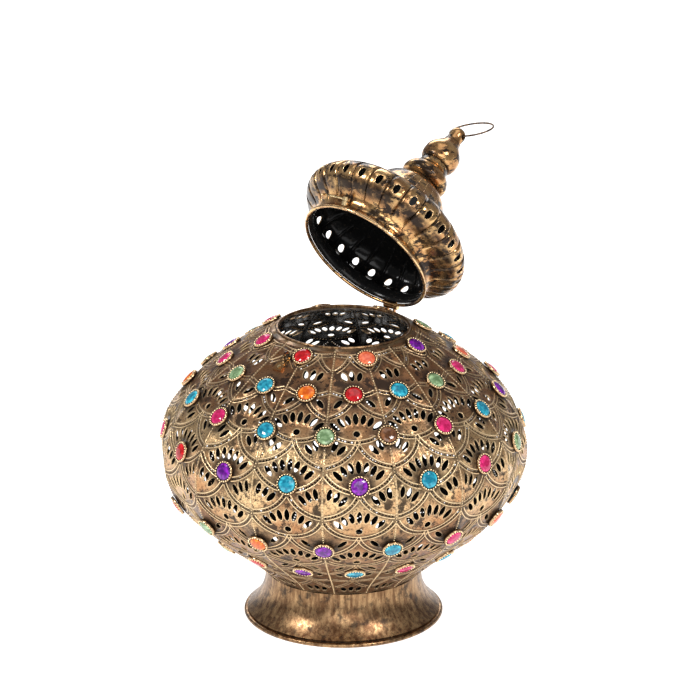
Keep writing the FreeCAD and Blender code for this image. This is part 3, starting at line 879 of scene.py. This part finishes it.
def make_gores():
    """Sixteen gores from four layouts: the latch's, the hinge's, and two that alternate."""
    layouts = {}
    for number in range(GORES):
        azimuth = FRONT + GORE_ANGLE * number
        kind = ("front" if number == 0 else "rear" if number == GORES // 2
                else "even" if number % 2 == 0 else "odd")
        if kind not in layouts:
            layouts[kind] = gore_layout(number)
        sheet, stones = layouts[kind]
        build = Builder()
        add_sheet(build, sheet, lambda u, v, h: gore_place(u, v, azimuth, h),
                  lambda u, v: gore_dirt(u, v, stones), SHEET, tarnish_and_reflection)
        add_borders(build, azimuth, stones)
        name = "gore_%02d" % (number + 1)
        build.make("pierced_" + name, [BRASS, INNER], "lantern_body", [name])


def make_seam_beads():
    """Fine beading along each seam, left out round the stones."""
    build = Builder()
    for seam in range(GORES):
        azimuth = FRONT + GORE_ANGLE * (seam + 0.5)
        skip = [SEAM.nearest(r, z + BELLY_Z) for r, z, on_seam, every in STONE_ROWS.values()
                if on_seam and seam % every == 0]
        down = 2.0
        while down < SEAM.length - 1.5:
            if all(abs(down - v) > SETTING_R + DOT_TO_CUP for v in skip):
                radius, z, out, up = SEAM.at(down)
                normal = around(out, up, azimuth)
                add_bead(build, around(radius, z, azimuth) + normal * 0.02, normal, SEAM_BEAD_R)
            down += SEAM_BEAD_STEP
    build.make("seam_beads", [BRASS], "lantern_body")


# ---- stones -------------------------------------------------------------------------
CUP_SECTION = [(6.02, 0.0, 0.0, 1.0), (6.1, 0.35, 0.1, 0.8), (6.05, 1.0, 0.35, 0.1),
               (5.98, 1.45, 0.4, 0.2), (5.75, 1.55, 0.1, 0.8), (5.4, 1.5, 0.0, 1.0),
               (5.02, 1.55, 0.0, 1.0), (4.95, 1.2, 0.0, 1.0)]
# Rings of a stone from the girdle up: radius, height, half a step round, and the share of painted
# light on its facets.
STONE_RINGS = [(4.85, 0.5, 0, 0.0), (4.85, 1.3, 0, 0.55), (4.35, 1.9, 1, 1.0), (3.3, 2.35, 0, 0.7),
               (1.9, 2.58, 1, 0.35)]


def stand(row, number):
    """Where a stone of a row stands: its foot, its outward direction, and a direction across."""
    radius, height, on_seam, every = STONE_ROWS[row]
    curve = SEAM if on_seam else FLAT
    r, z, out, up = curve.at(curve.nearest(radius, height + BELLY_Z))
    start = FRONT + (GORE_ANGLE / 2 if on_seam else GORE_ANGLE * 2)
    azimuth = start + GORE_ANGLE * every * number
    normal = around(out, up, azimuth)
    return around(r, z, azimuth) + normal * GAP, normal, around(1, 0, azimuth + 90.0)


def make_settings():
    """The stones' cups, each with a ring of beads on its rim."""
    for row in STONE_ROWS:
        build = Builder()
        for number in range(len(ROW_COLOURS[row].split())):
            foot, out, side = stand(row, number)
            other = out.cross(side)
            build.strip([[build.point(foot + out * height + radius * beam, wear, dirt)
                          for beam in beams(side, other, 32)]
                         for radius, height, wear, dirt in CUP_SECTION], True)
            for beam in beams(side, other, BEADS, math.pi / BEADS):
                add_bead(build, foot + out * BEAD_HEIGHT + beam * BEAD_RING_R, out, BEAD_R)
        name = "settings_row_" + row
        build.make("beaded_" + name, [COPPER_CUP], "lantern_body", [name])


def make_stones():
    by_colour = {}
    for row in STONE_ROWS:
        for number, colour in enumerate(ROW_COLOURS[row].split()):
            by_colour.setdefault(colour, []).append((row, number))
    for colour, places in by_colour.items():
        build = Builder()
        for row, number in places:
            add_stone(build, *stand(row, number))
        name = "stones_" + colour
        build.make("faceted_" + name, [make_stone(colour).material], "lantern_body",
                   [name])


def add_stone(build, foot, out, side):
    """Sixteen-sided stone with three rows of facets round a small flat table."""
    sides = 16
    spin = random.uniform(0, math.pi / 8)
    rings = []
    for radius, height, shift, painted_light in STONE_RINGS:
        start = spin + math.pi * shift / sides
        # Each point takes a random part of its ring's painted light, so the facets glint unevenly.
        rings.append([build.point(foot + out * height + radius * beam,
                                  painted_facet_light=painted_light * random.uniform(0.35, 1.3))
                      for beam in beams(side, out.cross(side), sides, start)])
    build.strip(rings[:2], True, flat=True)
    for low, high, (_, _, shift, _) in zip(rings[1:], rings[2:], STONE_RINGS[1:]):
        for k in range(sides):
            after = (k + 1) % sides
            build.face((low[k], low[after], high[after if shift else k]), flat=True)
            build.face((low[k if shift else after], high[after], high[k]), flat=True)
    build.face(rings[-1], flat=True)


# ---- lid ----------------------------------------------------------------------------
LID_SCALE = 50.0            # radius at which the dome's layout is true to size
DOME_ROW = 1.35
HALF_COLUMNS = [0.25, 0.5, 0.72, 0.86, 0.93, 1.0]
DOME_COLUMNS = [-part for part in HALF_COLUMNS[::-1]] + [0.0] + HALF_COLUMNS


def groove(turn, height):
    """How deep the lid is pressed, from 0 to 1: the grooves lie halfway between the slots."""
    away = abs(abs(turn) - math.pi / LID_SLOTS) * LID_SCALE
    ends = smooth_step(*GROOVE_START, height) * (1.0 - smooth_step(*GROOVE_END, height))
    return ends * (1.0 - smooth_step(0.0, GROOVE_HALF, away))


def ridge(radius, height):
    """Two low ridges turned into the shoulder, beside the rows of pinholes."""
    away = min(math.hypot(radius - r - RIDGE_SHIFT[0], height - z - RIDGE_SHIFT[1])
               for r, z in PINHOLE_ROWS)
    return RIDGE_HEIGHT * (1.0 - smooth_step(0.0, RIDGE_HALF, away))


def dome_layout():
    """One sector of the dome laid out flat, with the slot in its middle."""
    half = math.pi / LID_SLOTS * LID_SCALE
    slot_down = DOME.nearest(SLOT_AT[0], SLOT_AT[1] + LIP_Z)
    stretch = LID_SCALE / DOME.at(slot_down)[0]
    layout = Layout()
    for grow, wear, hole in ((0.0, 0.5, 0), (0.35, 0.15, -1)):
        outline = oval(0.0, 0.0, 0.0, SLOT_LENGTH, SLOT_WIDTH, 20, grow)
        layout.loop([(u * stretch, slot_down + v) for u, v in outline], 0.0, wear, hole)
    rows = int(DOME.length / DOME_ROW)
    grid = []
    for row in range(rows + 1):
        down = DOME.length * row / rows
        grid.append([layout.add(part * half, down) for part in DOME_COLUMNS
                     if math.hypot(part * half / stretch / (SLOT_WIDTH / 2 + 1.0),
                                   (down - slot_down) / (SLOT_LENGTH / 2 + 1.0)) > 1.0])
    layout.close([line[0] for line in grid] + [line[-1] for line in grid[::-1]])
    return layout


def make_dome():
    sheet = dome_layout().sheet()
    build = Builder()

    def dirt(u, s):
        height = DOME.at(s)[1] - LIP_Z
        band = 1.0 - smooth_step(0.3 * BAND[1], BAND[1], abs(height - BAND[0]))
        return max(groove(u / LID_SCALE, height), 0.97 * band)

    for sector in range(LID_SLOTS):
        middle = SLOT_TURN + 360.0 * sector / LID_SLOTS

        def place(u, s, height):
            radius, z, out, up = DOME.at(s)
            turn = u / LID_SCALE
            lift = height - GROOVE_DEPTH * groove(turn, z - LIP_Z)
            if height >= 0.0:
                lift += ridge(radius, z - LIP_Z)
            return around(radius + out * lift, z + up * lift, middle + math.degrees(turn))

        add_sheet(build, sheet, place, dirt, SPUN)
        for r, z in PINHOLE_ROWS:
            add_pinhole(build, r, z + LIP_Z, middle + 180.0 / LID_SLOTS)
    build.make("pierced_lid_dome", [LID, INNER, PUNCHED], "lid",
               ["lid_dome", "lid_shoulder"], opened())


def add_pinhole(build, radius, z, azimuth):
    """Shallow dark dimple on the shoulder."""
    r, height, out, up = DOME.at(DOME.nearest(radius, z))
    normal = around(out, up, azimuth)
    side = around(1, 0, azimuth + 90.0)
    foot = around(r, height, azimuth)
    centre = foot + normal * 0.06
    rim = [build.point(centre + PINHOLE_R * beam) for beam in beams(side, normal.cross(side), 8)]
    bottom = build.point(foot)
    for near, after in zip(rim, rim[1:] + rim[:1]):
        build.face((near, after, bottom), 2)


def make_spun(name, section, node, dirt_at):
    """Hollow turned piece of the lid: outside, rim and inside, dirty at some heights."""
    curve = Curve(section, LIP_Z, 600)
    build = Builder()
    sides = 72
    steps = 30
    outside = []
    inside = []
    for part, depth in ((outside, 0.0), (inside, SPUN)):
        for step in range(steps + 1):
            r, z, out, up = curve.at(curve.length * step / steps)
            dirt = 0.0
            if part is outside:
                dirt = min(1.0, sum(max(0.0, 1.0 - abs(z - LIP_Z - low) / 0.8) for low in dirt_at))
            part.append([build.point(around(r - out * depth, z - up * depth, 360.0 * k / sides),
                                     dirt=dirt) for k in range(sides)])
    build.strip(outside + inside[::-1] + outside[:1], True)
    build.make(name, [LID], "lid", [node], opened())


def make_lip():
    """Rolled bead round the lid's open edge, worn on its outside."""
    build = Builder()
    rows = []
    for k in range(14):
        turn = 2 * math.pi * k / 14
        r = LIP_R + LIP_BEAD_R * math.cos(turn)
        z = LIP_Z + LIP_BEAD_R * math.sin(turn)
        rows.append([build.point(around(r, z, 360.0 * n / 160), wear=max(0.0, math.cos(turn)) * 0.5)
                     for n in range(160)])
    build.strip(rows + rows[:1], True)
    build.make("rolled_lip", [LID], "lid", ["lid_lip"], opened())


def make_ring():
    """Thin wire ring, a little uneven, threaded through the cap."""
    build = Builder()
    place = (opened() @ Matrix.Translation((0, 0, RING_HOLE_Z))
             @ Matrix.Rotation(math.radians(-RING_LEAN), 4, "X")
             @ Matrix.Rotation(math.radians(RING_YAW), 4, "Z")
             @ Matrix.Rotation(math.radians(RING_ROLL), 4, "Y")
             @ Matrix.Translation((0, 0, RING_R - RING_BOW)))
    side = Vector((0.0, 1.0, 0.0))
    rows = []
    steps = 120
    for n, beam in enumerate(beams(Vector((1.0, 0.0, 0.0)), Vector((0.0, 0.0, 1.0)), steps)):
        turn = 2 * math.pi * n / steps
        wire = RING_WIRE_R * (0.95 + 0.05 * math.sin(9 * turn) * math.cos(4 * turn))
        rows.append([build.point(RING_R * beam + wire * lean) for lean in beams(beam, side, 12)])
    build.strip(rows + rows[:1], True)
    build.make("wire_ring", [WIRE], "hanging_ring", ["hanging_ring"], place)


# ---- pieces kept from CAD -----------------------------------------------------------
def dress(material, *names):
    """Gives CAD pieces a finish in place of their plain one."""
    for name in names:
        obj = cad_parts[name]
        obj.data.materials.clear()
        obj.data.materials.append(material)


def dress_cad():
    dress(ANTIQUE, "mouth_ring", "lower_collar", "foot_shell", "foot_ring")
    dress(ENAMEL, "base_plate", "candle_pan", "candle_cup")
    dress(BRIGHT, "pan_rivets", "hinge_pin", "hinge_body_rivets", "hinge_lid_rivets", "hook_post",
          "latch_hook", "catch_rivet")
    dress(LID, "finial_cap", "hinge_body_leaf", "hinge_lid_leaf", "catch_eye")


# ---- stage --------------------------------------------------------------------------
def look_at(name, data, target, azimuth, elevation, distance):
    """Adds a lamp or camera that looks at the target from a direction given in degrees."""
    a = math.radians(azimuth)
    e = math.radians(elevation)
    away = Vector((math.cos(a) * math.cos(e), math.sin(a) * math.cos(e), math.sin(e)))
    obj = bpy.data.objects.new(name, data)
    bpy.context.scene.collection.objects.link(obj)
    obj.location = target + away * distance
    obj.rotation_euler = (-away).to_track_quat("-Z", "Y").to_euler()
    return obj


def make_floor_sheet():
    """Square floor, eight metres across."""
    reach = 4.0
    mesh = bpy.data.meshes.new("floor")
    steps = [reach * (k / 4.0 - 1.0) for k in range(9)]
    points = [(x, y, 0.0) for y in steps for x in steps]
    corners = [9 * row + k for row in range(8) for k in range(8)]
    mesh.from_pydata(points, [], [(k, k + 1, k + 10, k + 9) for k in corners])
    mesh.materials.append(make_floor().material)
    floor = bpy.data.objects.new("floor", mesh)
    bpy.context.scene.collection.objects.link(floor)


def make_studio():
    """Even pale surroundings and the softboxes."""
    world = bpy.data.worlds.new("studio")
    world.use_nodes = True
    sky = world.node_tree.nodes["Background"].inputs
    sky["Color"].default_value = (0.96, 0.96, 0.97, 1.0)
    sky["Strength"].default_value = 0.31
    bpy.context.scene.world = world
    bpy.context.scene.view_settings.view_transform = "Standard"
    for name, azimuth, elevation, distance, size, radiance in LIGHTS:
        light = bpy.data.lights.new(name, "AREA")
        light.shape = "RECTANGLE"
        light.size, light.size_y = size
        light.energy = radiance * math.pi * size[0] * size[1]
        look_at(name, light, LIGHT_AIM, azimuth, elevation, distance)


def make_camera():
    camera = bpy.data.cameras.new("camera")
    camera.lens = LENS
    camera.sensor_width = 36.0
    camera.clip_end = 50.0
    bpy.context.scene.camera = look_at("camera", camera, VIEW_TARGET, FRONT + VIEW_AZIMUTH,
                                       VIEW_ELEVATION, VIEW_DISTANCE)


make_gores()
make_seam_beads()
make_settings()
make_stones()
make_dome()
make_lip()
make_spun("turned_bulb", BULB, "finial_bulb", (60.0, 75.0))
make_spun("turned_ball", BALL, "finial_ball", (75.2, 93.8))
make_ring()
dress_cad()
make_floor_sheet()
make_studio()
make_camera()
